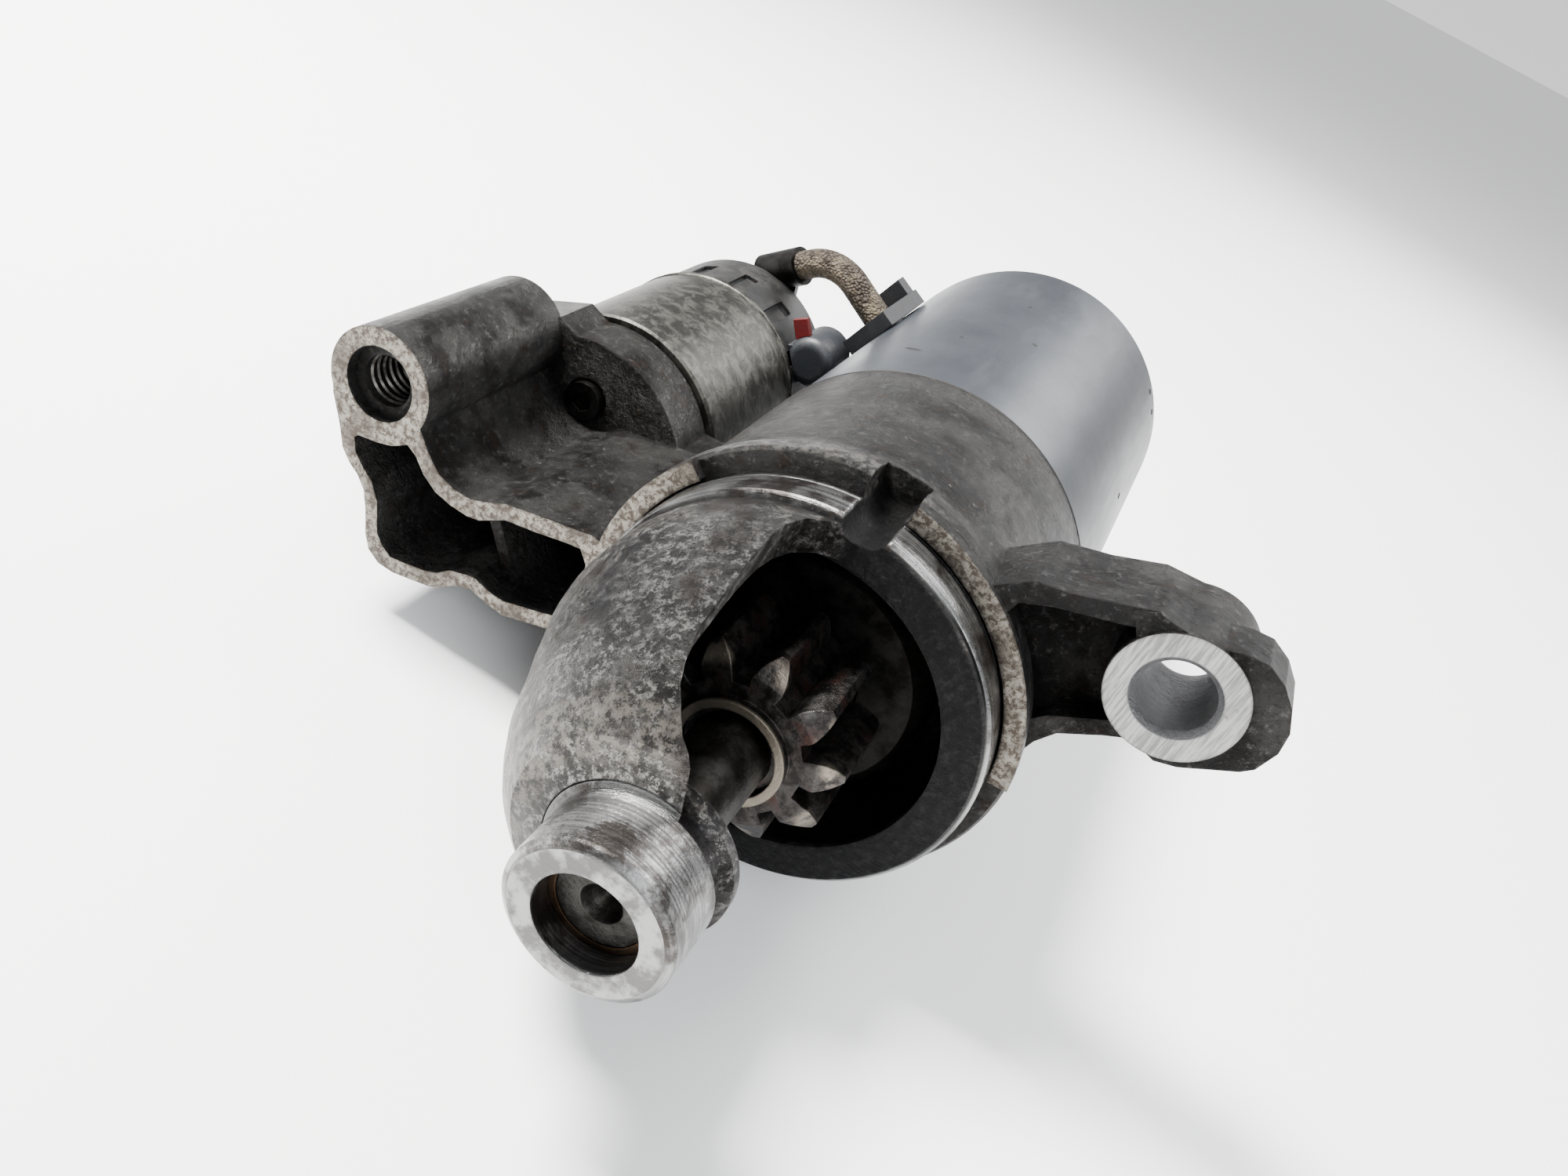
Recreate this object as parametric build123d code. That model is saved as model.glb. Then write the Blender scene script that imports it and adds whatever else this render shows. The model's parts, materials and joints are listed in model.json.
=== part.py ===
from build123d import *
import math
import os

# Geared starter motor. Millimetres. The motor axis is Y, with the nose towards -Y, and Y = 0 is
# the face that bolts to the bell housing. Everything is drawn with the solenoid at the upper left
# and then rolled about Y to lie on the yoke and the solenoid, as the motor rests on a bench.
os.makedirs("parts", exist_ok=True)

REST_ROLL = 34.9

PILOT_R = 38.0
PILOT_LENGTH = 8.0
FLANGE_R = 42.2
FACE_STEP = 2.2
HOUSING_R = 40.0
SEAM_Y = 58.3
GEAR_BORE_R = 36.0
NOSE_FACE_Y = -69.8
NOSE_R = 13.2
NOSE_BORE_R = 8.2
SHAFT_R = 7.0
RUN_GAP = 0.05

YOKE_R = 39.5
YOKE_BORE_R = 35.6
YOKE_END_Y = 163.0

SOLENOID_X = -65.7
SOLENOID_Z = 29.55
SOLENOID_R = 26.7
SOLENOID_FRONT_Y = 59.3
SOLENOID_REAR_Y = 103.7

BOSS_X = -73.6
BOSS_Z = 56.7
LUG_X = 65.55
LUG_HOLE_R = 6.25

# The lever works in the plane through both axes, which leaves the motor axis at this angle.
LEVER_PLANE = math.degrees(math.atan2(SOLENOID_Z, SOLENOID_X))
SOLENOID_U = math.hypot(SOLENOID_X, SOLENOID_Z)
PIVOT_U = 42.0
PIVOT_Y = 42.0
FORK_U = -2.4
FORK_Y = 30.9
HEAD_U = 73.7
HEAD_Y = 49.9

# Reduction gear: 12-tooth sun, three 18-tooth planets, fixed 48-tooth ring.
GEAR_MODULE = 1.25
SUN_TEETH = 12
PLANET_TEETH = 18
RING_TEETH = 48
PRESSURE_ANGLE = 25.0
PLANET_CIRCLE_R = GEAR_MODULE * (SUN_TEETH + PLANET_TEETH) / 2

PINION_TEETH = 10
PINION_TIP_R = 18.8
PINION_FRONT_Y = -24.3
PINION_REAR_Y = -4.5
PINION_PHASE = 18.0


def rod(radius, y_start, y_end, x=0.0, z=0.0):
    """A cylinder along Y."""
    middle = Pos(x, (y_start + y_end) / 2, z)
    return middle * Rot(90, 0, 0) * Cylinder(radius, y_end - y_start)


def tube(outer, inner, y_start, y_end, x=0.0, z=0.0):
    return rod(outer, y_start, y_end, x, z) - rod(inner, y_start - 1, y_end + 1, x, z)


def block(x_low, x_high, y_low, y_high, z_low, z_high):
    size = Box(x_high - x_low, y_high - y_low, z_high - z_low)
    return Pos((x_low + x_high) / 2, (y_low + y_high) / 2, (z_low + z_high) / 2) * size


def slab(points, y_start, y_end):
    """A prism along Y from an outline of (x, z) points."""
    plane = Plane(origin=(0, y_end, 0), x_dir=(1, 0, 0), z_dir=(0, -1, 0))
    return extrude(plane * Polygon(*points, align=None), y_end - y_start, dir=(0, -1, 0))


def turned(points, x=0.0, z=0.0):
    """A solid of revolution about Y from (radius, y) points."""
    return Pos(x, 0, z) * revolve(Polygon(*points, align=None), Axis.Y)


def around(shape, degrees):
    """Turns a shape about the motor axis, from +X towards +Z."""
    return Rot(0, -degrees, 0) * shape


def polar(radius, degrees):
    angle = math.radians(degrees)
    return radius * math.cos(angle), radius * math.sin(angle)


def tooth_outline(module, teeth, tip, root, thickness, pressure, steps=5):
    """Involute gear outline with a tooth centred on the +X direction."""
    pitch = module * teeth / 2
    base = pitch * math.cos(math.radians(pressure))
    involute = math.tan(math.radians(pressure)) - math.radians(pressure)
    half = thickness / (2 * pitch) + involute
    start = max(base, root)
    flank = []
    for step in range(steps + 1):
        radius = start + (tip - start) * step / steps
        roll = math.acos(min(1.0, base / radius))
        flank.append((radius, half - (math.tan(roll) - roll)))
    if root < base - 0.01:
        flank.insert(0, (root, flank[0][1]))
    points = []
    for tooth in range(teeth):
        centre = 2 * math.pi * tooth / teeth
        for radius, angle in flank:
            points.append((radius * math.cos(centre - angle), radius * math.sin(centre - angle)))
        for radius, angle in reversed(flank):
            points.append((radius * math.cos(centre + angle), radius * math.sin(centre + angle)))
    return points


def bar(start, end, half, z_low, z_high):
    """A round-ended bar between two (x, y) points, extruded along Z."""
    dx = end[0] - start[0]
    dy = end[1] - start[1]
    length = math.hypot(dx, dy)
    angle = math.degrees(math.atan2(dy, dx))
    sketch = Pos((start[0] + end[0]) / 2, (start[1] + end[1]) / 2) * Rot(0, 0, angle)
    flat = sketch * Rectangle(length, 2 * half)
    flat += Pos(*start) * Circle(half)
    flat += Pos(*end) * Circle(half)
    return Pos(0, 0, z_low) * extrude(flat, z_high - z_low)


def in_lever_plane(shape):
    """Places a shape drawn with X towards the solenoid axis and Z across the lever plane."""
    return around(shape, LEVER_PLANE)


def write(name, shape):
    solids = shape.solids()
    placed = [Rot(0, -REST_ROLL, 0) * solid for solid in solids]
    result = placed[0] if len(placed) == 1 else Compound(children=placed)
    export_step(result, "parts/" + name + ".step")


# ---- drive end housing: flange, pilot, arm, nose, lugs and solenoid bracket ----
ARM_OUTER = [
    (36.8, -7.9), (37.4, -12), (37.3, -20), (36.5, -24), (35.1, -28), (33.7, -32), (32.1, -36),
    (30.7, -40), (29.2, -44), (27.1, -48), (25.0, -51.3), (22.6, -54), (20.5, -56), (14.2, -57.4),
]
ARM_INNER = [
    (24.0, -48.5), (25.2, -44), (26.7, -40), (28.1, -36), (29.7, -32), (30.6, -28),
    (31.0, -24), (31.0, -7.9),
]
arm = turned([(0, -7.9)] + ARM_OUTER + [(0, -57.4)])
arm -= turned([(0, -7)] + [(0, -51.7), (20.5, -51.7)] + ARM_INNER + [(31.0, -7)])
WINDOW_EDGE = [
    (8.0, -7), (2.0, -8.2), (-2.5, -9.8), (-5.6, -12.6), (-7.2, -16.5), (-7.7, -21), (-7.7, -40),
    (-6.6, -45), (-4.9, -49), (-2.6, -52), (-0.8, -53.9), (1.1, -55), (2.5, -56.2), (3.7, -57.3),
    (5.0, -60), (60, -60), (60, -7),
]
window = extrude(Polygon(*WINDOW_EDGE, align=None), 60, both=True)
arm -= around(window, -30)

nose = turned([
    (0, -51.7), (14.1, -51.7), (14.1, -53.6), (12.3, -54.4), (12.3, -56.6), (NOSE_R, -57.6),
    (NOSE_R, -68.9), (11.9, NOSE_FACE_Y), (0, NOSE_FACE_Y),
])

bell = turned([
    (0, -PILOT_LENGTH), (36.8, -PILOT_LENGTH), (PILOT_R, -6.8), (PILOT_R, -0.6),
    (37.5, -0.3), (37.5, FACE_STEP), (FLANGE_R - 0.8, FACE_STEP), (FLANGE_R - 0.2, FACE_STEP + 0.8),
    (FLANGE_R - 0.2, 6), (40.8, 9), (HOUSING_R, 14),
    (HOUSING_R, SEAM_Y), (0, SEAM_Y),
])
housing = bell + arm + nose

# Raised machined sectors of the flange face, and the cast step between them.
for start_angle, end_angle in ((-28.0, 49.0), (106.0, 150.0)):
    middle = (start_angle + end_angle) / 2
    wedge = [(0, 0), polar(70, start_angle), polar(70, middle), polar(70, end_angle)]
    housing += tube(FLANGE_R, PILOT_R + 0.4, 0, FACE_STEP + 0.1) & slab(wedge, -1, 4)
housing -= rod(NOSE_BORE_R, -80, -51)

RIGHT_LUG_END = [
    (60, 14.5), (63.8, 14.3), (66, 12.3), (70.5, 9.2), (76.5, 7.6), (79.3, 6.1), (81.4, 2.6),
    (82.3, -1.3), (82, -5.4), (80.3, -9), (76.9, -12.1), (74.6, -12.7), (65.2, -12.7),
    (61.6, -11.8), (60, -10.0),
]
RIGHT_LUG_BACK = [
    (36, 17), (45, 18.3), (53.6, 15.8), (62.4, 14.2), (68.5, 10.8), (72.7, 7.4), (74.4, 5.3),
    (75.3, 1.8), (75.1, -2.6), (75.4, -12.5), (65.2, -12.7), (61.6, -11.8), (58, -10.6),
    (53.1, -10.3), (45.4, -10.5), (41.4, -12.4), (36, -17),
]
RIGHT_TOP_WEB = [
    (36, 18), (45.1, 19), (49.8, 17.1), (54.6, 16.1), (60, 15.0), (63.8, 14.3), (64, 10.5),
    (54, 12.9), (47.5, 14.6), (42, 15.2), (38, 12.0),
]
RIGHT_LOW_WEB = [
    (36, -17), (41.4, -12.4), (45.4, -10.5), (53.1, -10.3), (58, -10.6), (60, -7.5), (44, -7.2),
    (38, -9),
]
housing += slab(RIGHT_LUG_END, 0.7, 10)
housing += rod(11.3, 0, 20, LUG_X, 0)
housing += slab(RIGHT_LUG_BACK, 9.5, 20)
housing += slab(RIGHT_TOP_WEB, 1.2, 10)
housing += slab(RIGHT_LOW_WEB, 5.0, 10)

LEFT_LUG_OUTER = [
    (-73.6, 56.7), (-84.2, 58.5), (-85.1, 55.8), (-85.8, 49.7), (-86.8, 45.1), (-86.2, 41.9),
    (-85.1, 39.5), (-84.7, 36.3), (-85.7, 32.3), (-87.5, 27.3), (-87.9, 24.0), (-86.5, 21.0),
    (-83.6, 19.0), (-80.1, 17.7), (-75.6, 16.2), (-72.8, 15.8), (-68.8, 16.4), (-65.2, 15.6),
    (-62.4, 12.7), (-59.3, 10.3), (-50.8, 8.1), (-38.0, 5.0), (-30.0, 20.0), (-33.9, 26.7),
    (-36.9, 27.7), (-43.1, 30.0), (-47.9, 31.7), (-51.9, 33.1), (-56.2, 33.5), (-59.6, 34.1),
    (-62.7, 36.0), (-65.4, 39.1), (-66.1, 41.5), (-66.6, 43.8), (-67.0, 48.0),
]
LEFT_LUG_INNER = [
    (-82.0, 47.3), (-83.1, 47.0), (-83.9, 44.2), (-83.3, 41.1), (-82.1, 37.9), (-82.2, 33.9),
    (-84.5, 27.3), (-84.1, 24.5), (-83.0, 22.3), (-79.5, 20.9), (-75.2, 19.4), (-72.6, 19.0),
    (-69.0, 19.6), (-63.8, 18.3), (-60.6, 15.0), (-58.0, 13.3), (-50.0, 11.2), (-42.0, 9.6),
    (-41.3, 12.0), (-39.6, 16.6), (-37.4, 21.2), (-37.8, 24.3), (-40.9, 25.6), (-47.2, 27.7),
    (-52.8, 29.9), (-59.1, 29.9), (-61.5, 30.8), (-64.6, 32.9), (-67.4, 35.6), (-69.1, 39.2),
    (-69.7, 42.8), (-70.9, 45.0), (-74.7, 44.9), (-78.2, 45.8),
]
BRACKET_PLATE = [
    (-62.2, 58.3), (-59.9, 55.1), (-57.2, 52.0), (-52.3, 47.2), (-48.0, 43.6), (-45.7, 38.6),
    (-43.2, 30.5), (-41.5, 28.5), (-33.0, 24.0), (-34.0, 4.0), (-48.0, 5.0), (-64.0, 8.0),
    (-80.0, 20.0), (-84.0, 40.0), (-80.0, 55.0), (-73.6, 60.0),
]
housing += slab(LEFT_LUG_OUTER, 0, 45.5)
housing += rod(11.0, 0, 46, BOSS_X, BOSS_Z)
housing += slab(BRACKET_PLATE, 45, SEAM_Y)
housing += rod(25.4, 45, SEAM_Y, SOLENOID_X, SOLENOID_Z)
left_pocket = slab(LEFT_LUG_INNER, -1, 41)
left_pocket -= in_lever_plane(block(30, 84, 33, 60, -9.5, 10.5))
left_pocket -= block(-62.2, -59.8, 7, 50, 0, 60)
housing -= left_pocket

# Lever chamber, plunger room and pivot, open to the bore and to the solenoid seat.
housing -= in_lever_plane(block(20, 39.5, 30.5, 57, -6.5, 7.0))
housing -= in_lever_plane(block(38, 80, 36, 57, -6.5, 7.0))
housing -= in_lever_plane(block(50, 80, 50, 60, -6.5, 7.0))
housing -= rod(12.2, 49, SEAM_Y + 1, SOLENOID_X, SOLENOID_Z)
housing -= rod(31.0, -6, 44.5)
housing -= rod(30.0, -PILOT_LENGTH - 1, -5)
housing -= rod(GEAR_BORE_R, 44.5, SEAM_Y + 1)
pivot_hole = Pos(PIVOT_U, PIVOT_Y, 0) * Cylinder(2.5, 20.0)
housing -= in_lever_plane(pivot_hole)

# Vent notch through the pilot rim and the pocket behind it.
notch = rod(4.5, -PILOT_LENGTH - 1, 12, 39.2, 0) + block(39.2, 52, 0, 12, -4.5, 4.5)
housing -= around(notch, 55.5)

housing -= rod(LUG_HOLE_R, -5, 25, LUG_X, 0)
housing -= turned([(0, -0.1), (7.35, -0.1), (LUG_HOLE_R, 1.0), (0, 1.0)], LUG_X, 0)
housing -= rod(5.1, -5, 38, BOSS_X, BOSS_Z)
housing -= rod(7.3, -1, 2.4, BOSS_X, BOSS_Z)

# Plug screw on the bracket's front wall, and the two screw holes behind the solenoid.
PLUG_X, PLUG_Z = -60.2, 40.5
plug_hole = rod(2.0, 44, 48.0, PLUG_X, PLUG_Z) + rod(4.8, 40, 46.0, PLUG_X, PLUG_Z)
housing -= plug_hole
SCREW_SPOTS = [(SOLENOID_X + 5.8, SOLENOID_Z + 17.7), (SOLENOID_X - 13.0, SOLENOID_Z - 17.0)]
for x, z in SCREW_SPOTS:
    housing -= rod(2.0, 50, SEAM_Y + 1, x, z)
write("drive_end_housing", housing)

write("nose_bush", tube(NOSE_BORE_R - 0.01, SHAFT_R + RUN_GAP, -65.4, -52.0))

plug_screw = rod(1.98, 45.9, 47.8, PLUG_X, PLUG_Z) + rod(4.2, 43.2, 46.0, PLUG_X, PLUG_Z)
socket = Pos(PLUG_X, 0, PLUG_Z) * slab([polar(2.3, 60 * i) for i in range(6)], 43, 44.8)
write("bracket_plug_screw", plug_screw - socket)

# ---- output shaft with planet carrier ----
shaft = rod(SHAFT_R, -65.2, 49.5) + rod(26.0, 49.5, 53.3)
shaft -= turned([(0, -66), (3.3, -66), (3.3, -65.2), (2.4, -63.6), (0, -60.5)])
spline_cut = block(6.2, 8.0, 8.0, 43.0, -0.9, 0.9)
for index in range(8):
    shaft -= around(spline_cut, index * 45.0)
for index in range(3):
    x, z = polar(PLANET_CIRCLE_R, index * 120.0)
    shaft -= rod(3.0, 49, 54, x, z)
shaft -= rod(5.0, 48, 54)
write("output_shaft", shaft)

pins = [rod(2.99, 49.6, 63.4, *polar(PLANET_CIRCLE_R, index * 120.0)) for index in range(3)]
write("planet_pins", Compound(children=pins))

planet_points = tooth_outline(
    GEAR_MODULE, PLANET_TEETH, 12.35, 9.85, math.pi * GEAR_MODULE / 2 - 0.14, PRESSURE_ANGLE)
planet = slab(planet_points, 54.0, 63.0)
planet -= rod(2.99 + RUN_GAP, 50, 66)
planet = around(planet, 180.0 / PLANET_TEETH)
for index in range(3):
    x, z = polar(PLANET_CIRCLE_R, index * 120.0)
    write("planet_gear_" + str(index + 1), Pos(x, 0, z) * around(planet, index * 120.0))

sun_points = tooth_outline(
    GEAR_MODULE, SUN_TEETH, 8.6, 6.1, math.pi * GEAR_MODULE / 2 - 0.14, PRESSURE_ANGLE)
write("sun_gear", slab(sun_points, 54.4, 63.4) - rod(4.5, 50, 66))

ring_points = tooth_outline(
    GEAR_MODULE, RING_TEETH, 31.5, 28.95, math.pi * GEAR_MODULE / 2 + 0.12, PRESSURE_ANGLE)
ring = rod(35.4, 48.7, 64.5)
ring -= rod(32.0, 48, 53.8)
ring -= around(slab(ring_points, 53.0, 66.0), 180.0 / RING_TEETH)
write("ring_gear", ring)

plate = rod(35.4, 44.6, 48.7) + rod(12.5, 40.5, 45.0)
plate -= rod(9.0, 40, 50)
write("intermediate_bearing_plate", plate)
write("intermediate_bush", tube(8.99, SHAFT_R + RUN_GAP, 40.6, 48.6))

cover = rod(35.4, 64.6, 68.6) - rod(9.0, 64, 70)
BOLT_ANGLES = (75.0, 255.0)
BOLT_CIRCLE_R = 31.8
for angle in BOLT_ANGLES:
    cover -= rod(2.4, 64, 70, *polar(BOLT_CIRCLE_R, angle))
write("gear_cover_plate", cover)

# ---- drive: pinion, roller clutch and shift collar ----
pinion_points = tooth_outline(3.0, PINION_TEETH, PINION_TIP_R, 12.4, 5.4, 20.0, steps=7)
teeth = around(slab(pinion_points, PINION_FRONT_Y, PINION_REAR_Y), PINION_PHASE)
chamfer = turned([
    (0, PINION_FRONT_Y - 1), (14.6, PINION_FRONT_Y - 1), (14.6, PINION_FRONT_Y),
    (PINION_TIP_R, PINION_FRONT_Y + 2.6), (PINION_TIP_R, PINION_REAR_Y - 0.7),
    (18.0, PINION_REAR_Y), (0, PINION_REAR_Y),
])
pinion = (teeth & chamfer) + rod(9.9, -26.2, -20) + rod(11.8, -8, 16)
pinion -= rod(SHAFT_R + RUN_GAP, -30, 20)
pinion -= rod(8.3, -27, -24.6)
write("pinion", pinion)

shell = turned([
    (12.1, 2), (22.0, 2), (24.5, 5), (24.5, 22), (23.5, 24), (SHAFT_R + RUN_GAP, 24),
    (SHAFT_R + RUN_GAP, 17), (17.9, 17), (17.9, 5), (12.1, 5),
])
write("clutch_shell", shell)
rollers = [rod(3.0, 6, 16, *polar(14.85, 72.0 * index)) for index in range(5)]
write("clutch_rollers", Compound(children=rollers))
collar = turned([
    (SHAFT_R + RUN_GAP, 24), (14, 24), (14, 27.2), (9.3, 27.2), (9.3, 34.6), (14, 34.6),
    (14, 36.6), (SHAFT_R + RUN_GAP, 36.6),
])
write("shift_collar", collar)

# ---- shift lever and its pin ----
PIVOT = (PIVOT_U, PIVOT_Y)
FORK = (FORK_U, FORK_Y)
HEAD = (HEAD_U, HEAD_Y)
SPLIT_U = 18.0
share = (SPLIT_U - FORK_U) / (PIVOT_U - FORK_U)
SPLIT = (SPLIT_U, FORK_Y + share * (PIVOT_Y - FORK_Y))
lever = bar(PIVOT, HEAD, 2.9, -2.9, 2.9)
lever += Pos(*PIVOT) * Cylinder(5.2, 11.0)
lever += Pos(*HEAD) * Cylinder(2.9, 12.0)
lever += bar(SPLIT, PIVOT, 3.0, -5.0, 5.0)
lever += bar(SPLIT, SPLIT, 3.0, -18.0, 18.0)
for side in (-1, 1):
    lever += bar(FORK, SPLIT, 3.0, min(14.5 * side, 18.0 * side), max(14.5 * side, 18.0 * side))
    low = min(9.7 * side, 15.0 * side)
    lever += Pos(FORK_U, FORK_Y, low) * extrude(Circle(2.95), 5.3)
lever -= Pos(*PIVOT) * Cylinder(2.5 + RUN_GAP, 30.0)
write("shift_lever", in_lever_plane(lever))
pin = Pos(PIVOT_U, PIVOT_Y, 0) * Cylinder(2.49, 19.6)
write("lever_pivot_pin", in_lever_plane(pin))

# ---- armature ----
write("armature_shaft", rod(4.5, 54.6, 66) + rod(6.0, 66, 152) + rod(5.0, 152, 166))
SLOTS = 16
core = tube(26.6, 6.0, 79, 115)
winding = tube(24.0, 8.0, 72, 79) + tube(24.0, 8.0, 115, 123)
for index in range(SLOTS):
    slot = around(block(17.0, 24.0, 78, 116, -2.2, 2.2), index * 360.0 / SLOTS)
    mouth = around(block(23.0, 28.0, 78, 116, -0.9, 0.9), index * 360.0 / SLOTS)
    core -= slot + mouth
    winding += around(block(17.1, 23.9, 78, 116, -2.1, 2.1), index * 360.0 / SLOTS)
write("armature_core", core)
write("armature_winding", winding)
commutator = tube(14.5, 6.0, 130, 147)
for index in range(20):
    commutator -= around(block(12.5, 16.0, 129, 145, -0.35, 0.35), index * 18.0)
write("commutator", commutator)

# ---- yoke, magnets, brush gear and rear shield ----
LEAD_ANGLE = 121.0
LEAD_Y = 124.5
yoke = tube(YOKE_R, YOKE_BORE_R, SEAM_Y, YOKE_END_Y)
lead_hole = Pos(0, LEAD_Y, 0) * Rot(0, 90, 0) * Pos(0, 0, 38) * Cylinder(5.6, 12)
yoke -= around(lead_hole, LEAD_ANGLE)
write("yoke_tube", yoke)

magnet_ring = tube(YOKE_BORE_R - 0.05, 28.0, 76, 118)
sector = slab([(0, 0), polar(60, -23), polar(60, 0), polar(60, 23)], 70, 125)
magnets = [magnet_ring & around(sector, 15.0 + 60.0 * index) for index in range(6)]
holder = tube(35.4, 9.0, 148.5, 151.5)
BRUSH_ANGLES = (45.0, 135.0, 225.0, 315.0)
guide = block(17.5, 33.0, 132, 148.6, -6.2, 6.2) - block(17, 34, 133.4, 147.0, -4.6, 4.6)
brush = block(14.56, 26.0, 133.5, 146.9, -4.5, 4.5) - rod(14.56, 130, 150)
brushes = []
springs = []
for angle in BRUSH_ANGLES:
    holder += around(guide, angle)
    brushes.append(around(brush, angle))
coil_path = Helix(pitch=1.6, height=6.2, radius=2.9)
coil_wire = Plane(origin=coil_path @ 0, z_dir=coil_path % 0) * Circle(0.4)
coil = sweep(coil_wire, path=coil_path, is_frenet=True)
for angle in BRUSH_ANGLES:
    springs.append(around(Pos(26.5, 140.2, 0) * Rot(0, 90, 0) * coil, angle))
write("brushes", Compound(children=brushes))
write("brush_springs", Compound(children=springs))

shield = turned([
    (0, YOKE_END_Y), (39.4, YOKE_END_Y), (39.4, 166.5), (38.2, 169.4), (35.0, 171.0), (13.5, 171.0),
    (12.5, 174.5), (0, 174.5),
])
shield += tube(35.4, 33.0, 160, 164)
shield -= rod(8.0, 160, 172.5)
for angle in BOLT_ANGLES:
    shield -= rod(2.5, 160, 176, *polar(BOLT_CIRCLE_R, angle))
write("commutator_end_shield", shield)
write("rear_bush", tube(7.99, 5.0 + RUN_GAP, 163, 172.4))
bolts = []
for angle in BOLT_ANGLES:
    x, z = polar(BOLT_CIRCLE_R, angle)
    head = Pos(x, 0, z) * slab([polar(4.4, 60 * i) for i in range(6)], 171.0, 175.0)
    bolts.append(rod(2.35, 65, 171.5, x, z) + head)
for index in range(2):
    trim = rod(3.2, 60, 165, *polar(BOLT_CIRCLE_R, BOLT_ANGLES[index]))
    magnets = [magnet - trim for magnet in magnets]
    holder = holder - trim
write("field_magnets", Compound(children=[s for m in magnets for s in m.solids()]))
write("brush_holder", holder)
write("through_bolts", Compound(children=bolts))

# ---- solenoid ----
def sol(outer, inner, y_start, y_end):
    if inner <= 0:
        return rod(outer, y_start, y_end, SOLENOID_X, SOLENOID_Z)
    return tube(outer, inner, y_start, y_end, SOLENOID_X, SOLENOID_Z)


write("solenoid_case", turned([
    (24.9, SOLENOID_FRONT_Y), (26.2, SOLENOID_FRONT_Y), (SOLENOID_R, SOLENOID_FRONT_Y + 0.6),
    (SOLENOID_R, SOLENOID_REAR_Y - 0.8), (26.2, SOLENOID_REAR_Y), (24.9, SOLENOID_REAR_Y),
], SOLENOID_X, SOLENOID_Z))
front_plate = sol(24.85, 11.5 + RUN_GAP, 61.2, 64.7) + sol(16.0, 12.2, SEAM_Y + 0.02, 61.5)
for x, z in SCREW_SPOTS:
    front_plate -= rod(2.0, 60, 66, x, z)
write("solenoid_front_plate", front_plate)
screws = [rod(1.95, 50.5, 64.6, x, z) for x, z in SCREW_SPOTS]
write("solenoid_screws", Compound(children=screws))
bobbin = sol(12.6, 11.5 + RUN_GAP, 64.8, 97.5)
bobbin += sol(24.5, 11.6, 64.8, 66.2) + sol(24.5, 11.6, 96.1, 97.5)
write("solenoid_bobbin", bobbin)
write("solenoid_coil", sol(24.0, 12.65, 66.3, 96.0))
write("solenoid_core", sol(24.85, 2.5 + RUN_GAP, 98.0, 103.2) + sol(11.4, 2.5 + RUN_GAP, 96.6, 98.5))
plunger = sol(11.5, 0, 60.0, 86.0) - sol(7.0, 0, 70.0, 87.0)
hook = block(66.0, 79.0, 43.4, 61.0, -6.2, 6.2) - block(60.0, 77.4, 46.5, 53.3, -7.0, 7.0)
hook -= block(60.0, 77.4, 43.0, 53.3, -3.2, 3.2)
plunger += in_lever_plane(hook & rod(11.0, 43, 62, SOLENOID_U, 0))
write("solenoid_plunger", plunger)
spring_path = Helix(pitch=3.6, height=24.5, radius=5.6)
spring_wire = Plane(origin=spring_path @ 0, z_dir=spring_path % 0) * Circle(0.6)
spring = sweep(spring_wire, path=spring_path, is_frenet=True)
write("plunger_return_spring", Pos(SOLENOID_X, 71.0, SOLENOID_Z) * Rot(-90, 0, 0) * spring)
write("contact_rod", sol(2.5, 0, 77.0, 112.5))
write("contact_disc", sol(16.5, 2.51, 109.0, 111.5))

cap = sol(26.0, 0, SOLENOID_REAR_Y, 127.0) - sol(21.0, 0, SOLENOID_REAR_Y - 1, 121.5)
for index in range(14):
    angle = index * 360.0 / 14 + 6
    notch_block = around(block(24.9, 28.0, 106.5, 118.0, -2.0, 2.0), angle)
    cap -= Pos(SOLENOID_X, 0, SOLENOID_Z) * notch_block
MOTOR_STUD = (SOLENOID_X + 8.4, SOLENOID_Z + 10.0)
BATTERY_STUD = (SOLENOID_X - 8.4, SOLENOID_Z - 10.0)
# Above its nut each stud is a full M8, and below it a thinner neck goes through the cap.
STUD_R = 3.98
NECK_R = 3.4
for x, z in (MOTOR_STUD, BATTERY_STUD):
    cap += rod(8.6, 126.5, 129.0, x, z)
    cap -= rod(NECK_R + RUN_GAP, 120, 131, x, z)
write("solenoid_cap", cap)
for name, spot in (("motor_terminal_stud", MOTOR_STUD), ("battery_terminal_stud", BATTERY_STUD)):
    neck_end = 138.4 if spot == MOTOR_STUD else 136.0
    stud = rod(STUD_R, neck_end, 146.0, *spot) + rod(NECK_R, 118.0, neck_end, *spot)
    write(name, stud + rod(6.0, 115.2, 121.4, *spot))


def hex_nut(y_start, spot):
    nut = Pos(spot[0], 0, spot[1]) * slab([polar(7.5, 60 * i) for i in range(6)], y_start, y_start + 6.2)
    return nut - rod(NECK_R + 0.01, y_start - 1, y_start + 8, *spot)


write("terminal_nuts", Compound(children=[hex_nut(131.7, MOTOR_STUD), hex_nut(129.3, BATTERY_STUD)]))

boot_x, boot_z = -35.4, 30.7
boot = rod(6.4, 107.5, 121.0, boot_x, boot_z)
boot = fillet(boot.edges().filter_by(GeomType.CIRCLE).group_by(Axis.Y)[0], 2.6)
boot += rod(5.0, 108.5, 119.5, boot_x - 5.5, boot_z)
boot -= sol(26.05, 0, 100, 130)
boot -= rod(YOKE_R + 0.3, 100, 130)
write("control_terminal_boot", boot)
tab = block(-38.4, -34.6, 109.5, 111.3, 35.0, 41.5) - rod(6.45, 100, 130, boot_x, boot_z)
write("control_terminal_seal", tab.solids().sort_by(Axis.Z)[-1])

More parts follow.
